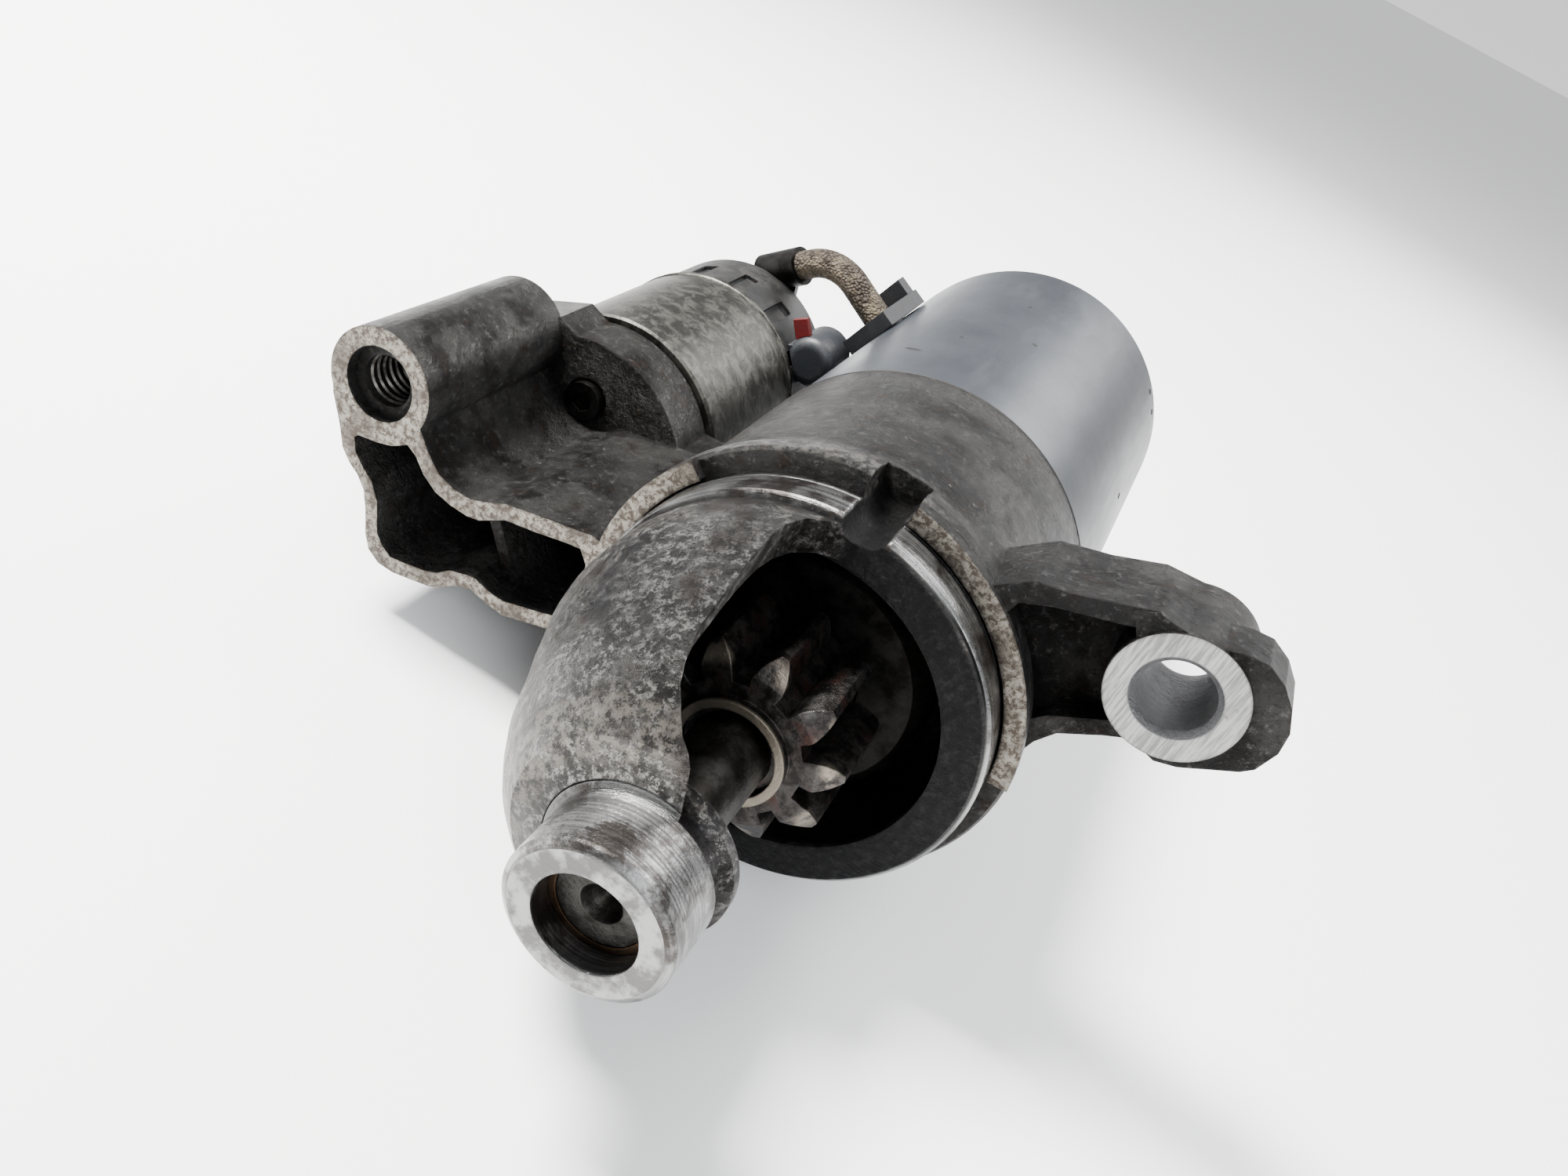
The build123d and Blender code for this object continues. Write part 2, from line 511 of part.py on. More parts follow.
# ---- field lead from the solenoid to the yoke ----
LEAD_R = 3.7
entry_x, entry_z = polar(31.0, LEAD_ANGLE)
bend_x, bend_z = polar(61.5, LEAD_ANGLE)
start = Vector(-50.0, 131.6, 50.5)
bend = Vector(bend_x, LEAD_Y + 3.5, bend_z)
finish = Vector(entry_x, LEAD_Y, entry_z)
route = FilletPolyline(start, bend, finish, radius=13.0)
lead = sweep(Plane(origin=start, z_dir=(bend - start)) * Circle(LEAD_R), path=route)
write("field_lead", lead)
heading = (bend - start).normalized()
barrel_plane = Plane(origin=start - heading * 5.0, z_dir=heading)
barrel = extrude(barrel_plane * Circle(5.0), 12.5)
barrel -= extrude(Plane(origin=start, z_dir=heading) * Circle(LEAD_R + 0.02), 20)
strip = slab([
    (MOTOR_STUD[0] - 7.0, MOTOR_STUD[1] - 5.0), (MOTOR_STUD[0] + 6.5, MOTOR_STUD[1] - 5.5),
    (-45.0, 46.5), (-45.0, 54.0), (-57.5, 52.5), (MOTOR_STUD[0] - 7.5, MOTOR_STUD[1] + 4.0),
], 129.2, 131.6)
lug = strip + barrel
lug -= rod(4.02, 125, 140, *MOTOR_STUD)
lug -= sol(26.05, 0, 100, 127.05)
lug -= rod(8.7, 120, 129.1, *MOTOR_STUD)
lug -= rod(7.8, 131.65, 140, *MOTOR_STUD)
lug -= extrude(Plane(origin=start, z_dir=heading) * Circle(LEAD_R + 0.02), 20)
write("lead_lug", lug.solids().sort_by(SortBy.VOLUME)[-1])
grommet = block(YOKE_R + 0.02, 43.6, 115.0, 142.0, -6.8, 6.8)
grommet += block(43.0, 48.2, 137.5, 142.0, -6.0, 6.0)
grommet += Pos(0, LEAD_Y, 0) * Rot(0, 90, 0) * Pos(0, 0, 39.5) * Cylinder(5.55, 8.0)
grommet = around(grommet, LEAD_ANGLE)
grommet -= tube(YOKE_R + 0.03, YOKE_BORE_R - 0.2, 100, 117.5)
grommet -= rod(YOKE_R + 0.03, 131.5, 150)
grommet -= tube(YOKE_R + 0.02, YOKE_BORE_R, 100, 150) - around(lead_hole, LEAD_ANGLE)
grommet -= extrude(Plane(origin=finish, z_dir=(bend - finish)) * Circle(LEAD_R + 0.02), 40, both=True)
write("lead_grommet", grommet.solids().sort_by(SortBy.VOLUME)[-1])
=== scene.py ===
import json
import math

import bpy
from mathutils import Matrix, Vector


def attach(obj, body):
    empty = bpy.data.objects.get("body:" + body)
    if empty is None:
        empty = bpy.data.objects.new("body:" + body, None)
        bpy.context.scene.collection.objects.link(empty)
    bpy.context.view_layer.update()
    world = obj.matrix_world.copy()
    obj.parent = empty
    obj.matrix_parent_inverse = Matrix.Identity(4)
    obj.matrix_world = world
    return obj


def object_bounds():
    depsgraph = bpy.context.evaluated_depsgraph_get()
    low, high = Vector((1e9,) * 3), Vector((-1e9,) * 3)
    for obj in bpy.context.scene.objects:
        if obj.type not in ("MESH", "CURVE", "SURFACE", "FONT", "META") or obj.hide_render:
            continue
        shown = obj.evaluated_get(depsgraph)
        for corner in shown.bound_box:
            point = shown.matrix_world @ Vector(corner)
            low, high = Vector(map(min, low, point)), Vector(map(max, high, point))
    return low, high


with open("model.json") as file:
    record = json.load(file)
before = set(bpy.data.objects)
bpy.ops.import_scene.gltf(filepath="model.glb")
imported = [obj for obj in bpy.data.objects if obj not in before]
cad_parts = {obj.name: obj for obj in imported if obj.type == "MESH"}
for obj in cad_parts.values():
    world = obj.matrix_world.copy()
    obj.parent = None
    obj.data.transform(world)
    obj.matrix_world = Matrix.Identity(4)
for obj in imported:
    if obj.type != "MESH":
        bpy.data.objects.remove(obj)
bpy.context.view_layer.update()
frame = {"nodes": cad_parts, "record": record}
nodes = frame["nodes"]
MM = 0.001
REST_ROLL = math.radians(34.9)
OBJECT_GAIN = 0.34

# Places on the motor, in mm of the upright drawing: x, z across the motor axis, and y along it.
YOKE_R = 39.5
SEAM_Y = 58.3
NOSE_FACE_Y = -69.8
LUG_X = 65.55
LUG_HOLE_R = 6.25
BOSS_CENTRE = (-73.6, 56.7)
SOLENOID_CENTRE = (-65.7, 29.55)
SOLENOID_REAR_Y = 103.7


def from_upright(x, y, z):
    """A point of the upright drawing, in mm, placed in the row frame, in metres."""
    c, s = math.cos(REST_ROLL), math.sin(REST_ROLL)
    return Vector((x * c - z * s, y, x * s + z * c)) * MM


# ---------------------------------------------------------------- shader helpers
class Shader:
    """Builds one Principled material node by node."""

    def __init__(self, name, metallic=0.0, roughness=0.5, specular=0.5):
        self.mat = bpy.data.materials.new(name)
        self.mat.use_nodes = True
        self.tree = self.mat.node_tree
        self.bsdf = self.tree.nodes["Principled BSDF"]
        self.bsdf.inputs["Metallic"].default_value = metallic
        self.bsdf.inputs["Roughness"].default_value = roughness
        self.bsdf.inputs["Specular IOR Level"].default_value = specular
        coords = self.tree.nodes.new("ShaderNodeTexCoord")
        self.place = coords.outputs["Object"]
        self.facing = coords.outputs["Normal"]

    def feed(self, socket, value):
        if isinstance(value, bpy.types.NodeSocket):
            self.tree.links.new(value, socket)
        elif isinstance(value, (tuple, list)) and len(value) == 3 and len(socket.default_value) == 4:
            socket.default_value = (*value, 1.0)
        else:
            socket.default_value = value

    def math(self, op, a, b=0.0, clamp=False):
        node = self.tree.nodes.new("ShaderNodeMath")
        node.operation = op
        node.use_clamp = clamp
        self.feed(node.inputs[0], a)
        self.feed(node.inputs[1], b)
        return node.outputs[0]

    def scaled(self, vector, sx, sy, sz):
        node = self.tree.nodes.new("ShaderNodeVectorMath")
        node.operation = "MULTIPLY"
        self.feed(node.inputs[0], vector)
        node.inputs[1].default_value = (sx, sy, sz)
        return node.outputs[0]

    def noise(self, size_mm, detail=4.0, rough=0.6, vector=None, distortion=0.0):
        node = self.tree.nodes.new("ShaderNodeTexNoise")
        self.feed(node.inputs["Vector"], vector if vector is not None else self.place)
        node.inputs["Scale"].default_value = 1.0 / (size_mm * MM)
        node.inputs["Detail"].default_value = detail
        node.inputs["Roughness"].default_value = rough
        node.inputs["Distortion"].default_value = distortion
        return node.outputs["Fac"]

    def cells(self, size_mm, vector=None):
        node = self.tree.nodes.new("ShaderNodeTexVoronoi")
        self.feed(node.inputs["Vector"], vector if vector is not None else self.place)
        node.inputs["Scale"].default_value = 1.0 / (size_mm * MM)
        return node.outputs["Distance"]

    def step(self, value, low, high):
        """0 below low, 1 above high, smooth between; low may be above high."""
        node = self.tree.nodes.new("ShaderNodeMapRange")
        node.interpolation_type = "SMOOTHSTEP"
        self.feed(node.inputs["Value"], value)
        if low <= high:
            node.inputs["From Min"].default_value = low
            node.inputs["From Max"].default_value = high
        else:
            node.inputs["From Min"].default_value = high
            node.inputs["From Max"].default_value = low
            node.inputs["To Min"].default_value = 1.0
            node.inputs["To Max"].default_value = 0.0
        return node.outputs["Result"]

    def mix(self, share, a, b):
        node = self.tree.nodes.new("ShaderNodeMix")
        node.data_type = "RGBA"
        self.feed(node.inputs[0], share)
        self.feed(node.inputs[6], a)
        self.feed(node.inputs[7], b)
        return node.outputs[2]

    def split(self, vector):
        node = self.tree.nodes.new("ShaderNodeSeparateXYZ")
        self.feed(node.inputs[0], vector)
        return node.outputs

    def colour(self, value, gain=OBJECT_GAIN):
        """Sets the base colour; gain keeps the object's tones in step with the studio's bright light."""
        node = self.tree.nodes.new("ShaderNodeMix")
        node.data_type = "RGBA"
        node.blend_type = "MULTIPLY"
        node.inputs[0].default_value = 1.0
        self.feed(node.inputs[6], value)
        node.inputs[7].default_value = (gain, gain, gain, 1.0)
        self.feed(self.bsdf.inputs["Base Color"], node.outputs[2])

    def roughness(self, value):
        self.feed(self.bsdf.inputs["Roughness"], value)

    def relief(self, height, depth_mm, round_mm=0.0):
        bump = self.tree.nodes.new("ShaderNodeBump")
        bump.inputs["Distance"].default_value = depth_mm * MM
        self.feed(bump.inputs["Height"], height)
        if round_mm:
            bevel = self.tree.nodes.new("ShaderNodeBevel")
            bevel.samples = 4
            bevel.inputs["Radius"].default_value = round_mm * MM
            self.tree.links.new(bevel.outputs[0], bump.inputs["Normal"])
        self.tree.links.new(bump.outputs[0], self.bsdf.inputs["Normal"])

    def nooks(self, reach_mm):
        """0 deep in a corner, 1 on open ground."""
        node = self.tree.nodes.new("ShaderNodeAmbientOcclusion")
        node.samples = 6
        node.inputs["Distance"].default_value = reach_mm * MM
        return node.outputs["AO"]


# Dark colour shared by the random grime and the painted shade in corners.
GRIME_AND_SHADE = (0.03, 0.025, 0.02)


def steel(name, light, dark, roughness, size=6.0):
    """Worn bare or plated steel: two tones in blotches, fine scratches, random grime, and painted shade
    darkening the corners.
    """
    s = Shader(name, metallic=1.0)
    blotch = s.noise(size, 6, 0.65)
    fine = s.noise(0.5, 3, 0.7)
    tone = s.mix(s.step(blotch, 0.38, 0.62), dark, light)
    tone = s.mix(s.math("MULTIPLY", s.step(fine, 0.55, 0.75), 0.35), tone, light)
    grime = s.math("MULTIPLY", s.step(s.noise(size * 0.7, 6, 0.7), 0.5, 0.68), 0.5)
    # Painted shade: ambient occlusion darkens the corners to the same dark colour as the grime.
    corner = s.math("MULTIPLY", s.step(s.nooks(4.0), 0.75, 0.35), 0.8)
    tone = s.mix(s.math("MAXIMUM", grime, corner), tone, GRIME_AND_SHADE)
    s.colour(tone)
    s.roughness(s.math("ADD", s.math("MULTIPLY", blotch, 0.3), roughness - 0.12))
    s.relief(s.math("ADD", fine, s.math("MULTIPLY", blotch, 2.0)), 0.05, 0.25)
    return s.mat


def plastic(name, base, dusty, roughness=0.45, specular=0.4):
    s = Shader(name, roughness=roughness, specular=specular)
    dust = s.noise(5.0, 6, 0.7)
    grain = s.noise(0.4, 2, 0.6)
    s.colour(s.mix(s.math("MULTIPLY", s.step(dust, 0.45, 0.72), 0.6), base, dusty))
    s.roughness(s.math("ADD", s.math("MULTIPLY", dust, 0.35), roughness - 0.15))
    s.relief(s.math("ADD", grain, dust), 0.05, 0.3)
    return s.mat


# ---------------------------------------------------------------- the casting
def cast_housing():
    s = Shader("cast_aluminium", metallic=0.9)
    x, y, z = [s.math("MULTIPLY", axis, 1000.0) for axis in s.split(s.place)]
    ny = s.split(s.facing)[1]

    def distance(cx, cz):
        dx = s.math("SUBTRACT", x, cx)
        dz = s.math("SUBTRACT", z, cz)
        return s.math("SQRT", s.math("ADD", s.math("MULTIPLY", dx, dx), s.math("MULTIPLY", dz, dz)))

    def both(*shares):
        out = shares[0]
        for share in shares[1:]:
            out = s.math("MULTIPLY", out, share)
        return out

    radius = distance(0.0, 0.0)
    front = s.step(ny, -0.85, -0.97)
    big = s.noise(24.0, 5, 0.6)
    mid = s.noise(5.0, 6, 0.65)
    blot = s.noise(10.0, 6, 0.7)
    fine = s.noise(1.5, 6, 0.8)
    grit = s.noise(0.8, 5, 0.8)
    # Grey cast skin of the lugs and the bell, oily in places.
    skin = s.mix(s.step(big, 0.38, 0.62), (0.046, 0.045, 0.045), (0.115, 0.110, 0.104))
    skin = s.mix(both(s.step(blot, 0.48, 0.62), 0.9), skin, (0.020, 0.017, 0.016))
    skin = s.mix(both(s.step(mid, 0.56, 0.68), 0.45), skin, (0.10, 0.065, 0.045))
    skin = s.mix(both(s.step(fine, 0.55, 0.62), 0.45), skin, (0.34, 0.33, 0.32))
    skin = s.mix(both(s.step(grit, 0.54, 0.60), 0.6), skin, (0.022, 0.02, 0.019))
    # Sand-cast arm in random dark and light tones, with painted highlight specks.
    arm_tone = s.mix(s.step(mid, 0.40, 0.60), (0.045, 0.042, 0.040), (0.17, 0.162, 0.155))
    # Painted highlight: near-white specks stand in for glints off the sand-cast grit.
    arm_tone = s.mix(both(s.step(fine, 0.50, 0.58), 0.7), arm_tone, (0.75, 0.72, 0.68))
    arm_tone = s.mix(both(s.step(grit, 0.52, 0.58), 0.85), arm_tone, (0.03, 0.027, 0.025))
    stain = s.step(s.noise(12.0, 6, 0.75), 0.52, 0.62)
    arm_tone = s.mix(both(stain, 0.8), arm_tone, (0.050, 0.032, 0.024))
    blue = s.step(s.noise(30.0, 3, 0.5), 0.54, 0.64)
    arm_tone = s.mix(both(blue, 0.7), arm_tone, (0.04, 0.042, 0.052))
    on_arm = both(s.step(y, -8.4, -9.4), s.step(y, -59.5, -58.0))
    tone = s.mix(on_arm, skin, arm_tone)
    # Turned register and nose.
    turning = s.noise(0.5, 2, 0.6, s.scaled(s.place, 0.02, 1.0, 0.02))
    bright = s.mix(s.step(turning, 0.4, 0.6), (0.32, 0.32, 0.318), (0.75, 0.75, 0.745))
    bright = s.mix(both(s.step(blot, 0.46, 0.6), 0.85), bright, (0.075, 0.058, 0.048))
    on_register = both(s.step(radius, 37.2, 37.6), s.step(radius, 38.5, 38.2))
    on_register = both(on_register, s.step(y, -8.4, -7.6), s.step(y, 1.5, 0.6))
    neck = both(s.step(y, -51.0, -52.0), s.step(y, -56.6, -57.4), s.step(radius, 14.8, 14.4))
    on_nose = both(s.step(y, -56.6, -57.4), s.step(radius, 14.6, 14.3))
    nose_face = both(front, s.step(y, NOSE_FACE_Y + 0.6, NOSE_FACE_Y + 0.2))
    tone = s.mix(both(neck, s.step(y, -51.0, -52.0), 0.9), tone, (0.035, 0.033, 0.034))
    machined = s.math("MAXIMUM", on_register, on_nose)
    tone = s.mix(machined, tone, bright)
    tone = s.mix(nose_face, tone, s.mix(s.step(mid, 0.42, 0.6), (0.25, 0.245, 0.24), (0.70, 0.70, 0.69)))
    # Machined faces at the flange plane, dirty and chalky, and the lug's spot face.
    face_at_zero = both(front, s.step(y, -0.4, -0.15), s.step(y, 0.4, 0.15))
    chalk = s.mix(s.step(fine, 0.44, 0.56), (0.13, 0.105, 0.085), (0.52, 0.48, 0.41))
    chalk = s.mix(both(s.step(blot, 0.46, 0.6), 0.7), chalk, (0.11, 0.09, 0.075))
    tone = s.mix(face_at_zero, tone, chalk)
    # Light rubbed patches: the arm's shoulder at the nose, and the bell's rim beside the vent notch.
    crumbs = s.step(s.noise(1.6, 5, 0.8), 0.46, 0.58)
    shoulder = both(s.step(y, -57.5, -56.0), s.step(y, -51.0, -52.5))
    shoulder = both(shoulder, s.step(radius, 15.5, 17.5), s.step(x, 2.0, -6.0))
    tone = s.mix(both(shoulder, crumbs, 0.8), tone, (0.46, 0.42, 0.36))
    crown = both(s.step(y, 2.0, 3.0), s.step(y, 15.0, 8.0))
    crown = both(crown, s.step(z, 24.0, 33.0), s.step(x, 12.0, 0.0))
    tone = s.mix(both(crown, crumbs, 0.75), tone, (0.44, 0.41, 0.38))
    lug = from_upright(LUG_X, 0.0, 0.0) / MM
    spot = both(face_at_zero, s.step(distance(lug.x, lug.z), 11.4, 11.1))
    cuts = s.noise(0.5, 3, 0.7, s.scaled(s.place, 1.0, 1.0, 0.06))
    milled = s.mix(s.step(cuts, 0.4, 0.6), (0.42, 0.42, 0.41), (0.82, 0.82, 0.80))
    milled = s.mix(both(s.step(mid, 0.60, 0.72), 0.8), milled, (0.24, 0.17, 0.09))
    tone = s.mix(spot, tone, milled)
    hole = both(s.step(distance(lug.x, lug.z), LUG_HOLE_R + 1.25, LUG_HOLE_R + 1.05), s.step(y, -0.1, 0.05))
    tone = s.mix(hole, tone, (0.42, 0.42, 0.43))
    # Soot on the cup's rim; painted shade inside the cup and in the corners.
    rim = both(s.step(radius, 37.4, 36.6), s.step(radius, 29.0, 29.8), s.step(y, -9.0, -8.2))
    rim = both(rim, s.math("SUBTRACT", 1.0, on_arm))
    soot = s.mix(s.step(fine, 0.45, 0.7), (0.018, 0.018, 0.019), (0.06, 0.06, 0.062))
    tone = s.mix(both(rim, s.math("SUBTRACT", 1.0, on_register), 0.92), tone, soot)
    # Painted shade: the inside of the cup is made near black.
    cavity_shade = both(s.step(radius, 31.7, 31.3), s.step(y, -7.4, -6.2))
    tone = s.mix(both(cavity_shade, 0.96), tone, (0.008, 0.008, 0.008))
    # Painted shade: ambient occlusion darkens the corners to near black.
    corner = s.step(s.nooks(11.0), 0.66, 0.22)
    tone = s.mix(both(corner, 0.9), tone, (0.016, 0.014, 0.013))
    s.colour(tone)
    rough = s.math("ADD", both(mid, 0.35), 0.24)
    rough = s.math("SUBTRACT", rough, both(s.step(blot, 0.48, 0.62), 0.12))
    rough = s.math("SUBTRACT", rough, both(on_arm, 0.07))
    rough = s.math("SUBTRACT", rough, both(machined, 0.15))
    s.roughness(s.math("MAXIMUM", rough, 0.16))
    finished = s.math("MAXIMUM", machined, s.math("MAXIMUM", face_at_zero, nose_face))
    plain = s.math("SUBTRACT", 1.0, both(finished, 0.9))
    bumps = s.math("ADD", both(mid, 1.8), both(fine, 1.0))
    bumps = s.math("ADD", bumps, both(grit, on_arm, 1.5))
    s.relief(both(bumps, plain), 0.95, 0.8)
    return s.mat


def yoke_finish():
    s = Shader("yoke_paint", metallic=0.45, specular=0.6)
    y = s.math("MULTIPLY", s.split(s.place)[1], 1000.0)
    big = s.noise(30.0, 4, 0.55)
    streak = s.noise(6.0, 5, 0.6, s.scaled(s.place, 1.0, 0.18, 1.0))
    fine = s.noise(1.0, 4, 0.7)
    tone = s.mix(s.step(big, 0.35, 0.65), (0.085, 0.097, 0.118), (0.125, 0.140, 0.165))
    tone = s.mix(s.math("MULTIPLY", s.step(streak, 0.52, 0.7), 0.3), tone, (0.18, 0.198, 0.228))
    speck = s.step(s.cells(3.4), 0.085, 0.06)
    sparse = s.step(s.noise(7.0, 3, 0.6), 0.6, 0.66)
    tone = s.mix(s.math("MULTIPLY", speck, sparse), tone, (0.04, 0.04, 0.045))
    seam = s.step(y, SEAM_Y + 1.9, SEAM_Y + 0.3)
    tone = s.mix(s.math("MULTIPLY", seam, 0.75), tone, (0.05, 0.05, 0.055))
    s.colour(tone)
    s.roughness(s.math("ADD", s.math("MULTIPLY", streak, 0.22), 0.27))
    s.relief(s.math("ADD", s.math("MULTIPLY", big, 2.0), s.math("MULTIPLY", fine, 0.3)), 0.12, 0.3)
    return s.mat


def solenoid_finish():
    s = Shader("zinc_case", metallic=0.75, specular=0.5)
    drips = s.noise(3.2, 6, 0.72, s.scaled(s.place, 1.0, 1.0, 0.45), distortion=0.6)
    cloud = s.noise(14.0, 4, 0.6)
    fine = s.noise(0.7, 4, 0.7)
    tone = s.mix(s.step(drips, 0.42, 0.62), (0.07, 0.066, 0.056), (0.22, 0.215, 0.185))
    tone = s.mix(s.math("MULTIPLY", s.step(fine, 0.6, 0.72), 0.4), tone, (0.40, 0.40, 0.36))
    tone = s.mix(s.math("MULTIPLY", s.step(cloud, 0.55, 0.72), 0.6), tone, (0.13, 0.12, 0.09))
    s.colour(tone)
    s.roughness(s.math("ADD", s.math("MULTIPLY", drips, 0.35), 0.25))
    s.relief(s.math("ADD", drips, s.math("MULTIPLY", fine, 0.4)), 0.12, 0.3)
    return s.mat


def pinion_finish():
    s = Shader("pinion_steel", metallic=0.9)
    x, y, z = s.split(s.place)
    y = s.math("MULTIPLY", y, 1000.0)
    radius = s.math("SQRT", s.math("ADD", s.math("MULTIPLY", x, x), s.math("MULTIPLY", z, z)))
    radius = s.math("MULTIPLY", radius, 1000.0)
    blotch = s.noise(3.0, 6, 0.7)
    fine = s.noise(0.5, 4, 0.7)
    tone = s.mix(s.step(blotch, 0.4, 0.62), (0.040, 0.034, 0.032), (0.15, 0.14, 0.132))
    oil = s.step(s.noise(6.0, 4, 0.6), 0.52, 0.66)
    tone = s.mix(s.math("MULTIPLY", oil, 0.7), tone, (0.10, 0.028, 0.018))
    worn = s.math("MULTIPLY", s.step(y, -21.4, -23.2), s.step(radius, 14.5, 16.5))
    worn = s.math("MULTIPLY", worn, s.step(s.noise(5.0, 4, 0.6), 0.42, 0.56))
    tone = s.mix(s.math("MULTIPLY", worn, 0.85), tone, (0.62, 0.54, 0.44))
    tone = s.mix(s.math("MULTIPLY", s.step(fine, 0.62, 0.74), 0.35), tone, (0.4, 0.37, 0.34))
    rim = s.math("MULTIPLY", s.step(y, -25.4, -25.9), s.step(radius, 8.2, 8.6))
    tone = s.mix(s.math("MULTIPLY", rim, 0.85), tone, (0.60, 0.53, 0.42))
    s.colour(tone)
    s.roughness(s.math("ADD", s.math("MULTIPLY", blotch, 0.45), 0.15))
    s.relief(s.math("ADD", blotch, s.math("MULTIPLY", fine, 0.4)), 0.22, 0.35)
    return s.mat


def braid_finish():
    s = Shader("sleeve_braid", roughness=0.8, specular=0.25)
    weave = s.cells(0.75, s.scaled(s.place, 1.0, 1.6, 1.0))
    soil = s.noise(7.0, 5, 0.65)
    tone = s.mix(s.step(soil, 0.4, 0.62), (0.055, 0.036, 0.024), (0.34, 0.27, 0.18))
    tone = s.mix(s.math("MULTIPLY", s.step(weave, 0.55, 0.2), 0.35), tone, (0.58, 0.52, 0.42))
    s.colour(tone)
    s.relief(s.math("ADD", s.math("MULTIPLY", weave, 1.5), soil), 0.35)
    return s.mat


finishes = {
    "cast_aluminium": cast_housing(),
    "yoke_paint": yoke_finish(),
    "zinc_case": solenoid_finish(),
    "pinion_steel": pinion_finish(),
    "sleeve_braid": braid_finish(),
    "bronze": steel("bronze", (0.20, 0.12, 0.07), (0.10, 0.06, 0.035), 0.4),
    "dark_steel": steel("dark_steel", (0.05, 0.048, 0.046), (0.016, 0.015, 0.014), 0.5),
    "shaft_steel": steel("shaft_steel", (0.13, 0.128, 0.12), (0.05, 0.045, 0.04), 0.4, size=4.0),
    "gear_steel": steel("gear_steel", (0.38, 0.37, 0.36), (0.16, 0.15, 0.14), 0.35),
    "machined_aluminium": steel("machined_aluminium", (0.72, 0.72, 0.71), (0.50, 0.50, 0.49), 0.33),
    "plate_steel": steel("plate_steel", (0.55, 0.55, 0.54), (0.33, 0.32, 0.31), 0.35),
    "lamination_steel": steel("lamination_steel", (0.30, 0.30, 0.31), (0.15, 0.15, 0.15), 0.45),
    "copper_wire": steel("copper_wire", (0.62, 0.26, 0.10), (0.30, 0.10, 0.04), 0.4),
    "copper_bar": steel("copper_bar", (0.80, 0.42, 0.24), (0.45, 0.22, 0.12), 0.3),
    "spring_steel": steel("spring_steel", (0.5, 0.5, 0.5), (0.25, 0.25, 0.25), 0.3),
    "zinc_steel": steel("zinc_steel", (0.62, 0.60, 0.52), (0.34, 0.32, 0.26), 0.35),
    "lug_metal": steel("lug_metal", (0.06, 0.058, 0.056), (0.018, 0.017, 0.017), 0.5),
    "ferrite": plastic("ferrite", (0.05, 0.05, 0.052), (0.10, 0.10, 0.10), 0.6),
    "brush_carbon": plastic("brush_carbon", (0.03, 0.03, 0.03), (0.07, 0.065, 0.06), 0.5),
    "lever_plastic": plastic("lever_plastic", (0.03, 0.03, 0.03), (0.08, 0.075, 0.07), 0.45),
    "bobbin_plastic": plastic("bobbin_plastic", (0.62, 0.56, 0.44), (0.45, 0.40, 0.31), 0.5),
    "cap_plastic": plastic("cap_plastic", (0.014, 0.014, 0.014), (0.085, 0.075, 0.065), 0.5),
    "boot_rubber": plastic("boot_rubber", (0.05, 0.055, 0.065), (0.10, 0.10, 0.10), 0.45),
    "red_seal": plastic("red_seal", (0.30, 0.012, 0.012), (0.10, 0.02, 0.02), 0.5),
    "grommet_rubber": plastic("grommet_rubber", (0.030, 0.031, 0.035), (0.065, 0.065, 0.065), 0.6),
}

slot_of = {part["node"]: part["material_slot"] for part in frame["record"]["subparts"]}
for name, thing in nodes.items():
    thing.data.materials.clear()
    thing.data.materials.append(finishes[slot_of[name]])


# ---------------------------------------------------------------- small visible pieces
def piece(name, verts, faces, finish, body, smooth=True):
    mesh = bpy.data.meshes.new(name)
    mesh.from_pydata([tuple(v) for v in verts], [], faces)
    mesh.validate()
    if smooth:
        mesh.shade_smooth()
    ob = bpy.data.objects.new(name, mesh)
    bpy.context.scene.collection.objects.link(ob)
    mesh.materials.append(finish)
    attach(ob, body)
    return ob


def ring_mesh(section, steps, twist_mm=0.0, turns=1.0, centre=(0.0, 0.0)):
    """Sweeps a closed (radius, y) section round an axis along Y, as a ring or as a helix."""
    verts = []
    faces = []
    closed = twist_mm == 0.0
    count = steps if closed else steps + 1
    for i in range(count):
        angle = 2 * math.pi * turns * i / steps
        for radius, y in section:
            verts.append(from_upright(
                centre[0] + radius * math.cos(angle), y + twist_mm * turns * i / steps,
                centre[1] + radius * math.sin(angle)))
    n = len(section)
    for i in range(steps):
        j = (i + 1) % count
        for k in range(n):
            m = (k + 1) % n
            faces.append((i * n + k, j * n + k, j * n + m, i * n + m))
    if not closed:
        faces.append(tuple(range(n)))
        faces.append(tuple(reversed(range(steps * n, steps * n + n))))
    return verts, faces


# The M12 thread in the left boss, a helical rib on the plain bore.
THREAD_PITCH = 1.75
THREAD_TURNS = 16
thread_section = [(5.3, 3.0), (4.72, 3.55), (4.72, 3.85), (5.3, 4.4)]
verts, faces = ring_mesh(thread_section, 48 * THREAD_TURNS, THREAD_PITCH, THREAD_TURNS, BOSS_CENTRE)
thread_finish = steel("thread_metal", (0.30, 0.29, 0.27), (0.07, 0.065, 0.06), 0.35, size=3.0)
piece("boss_thread", verts, faces, thread_finish, "frame", smooth=False)

# The crimped rim that holds the cap in the solenoid's case.
crimp_section = [
    (25.6, SOLENOID_REAR_Y - 1.1), (26.9, SOLENOID_REAR_Y - 0.9), (27.0, SOLENOID_REAR_Y + 0.7),
    (26.5, SOLENOID_REAR_Y + 1.6), (25.6, SOLENOID_REAR_Y + 1.6)]
verts, faces = ring_mesh(crimp_section, 96, centre=SOLENOID_CENTRE)
crimp_finish = steel("crimp_zinc", (0.30, 0.29, 0.26), (0.10, 0.095, 0.085), 0.4, size=3.0)
piece("solenoid_crimp_ring", verts, faces, crimp_finish, "frame")

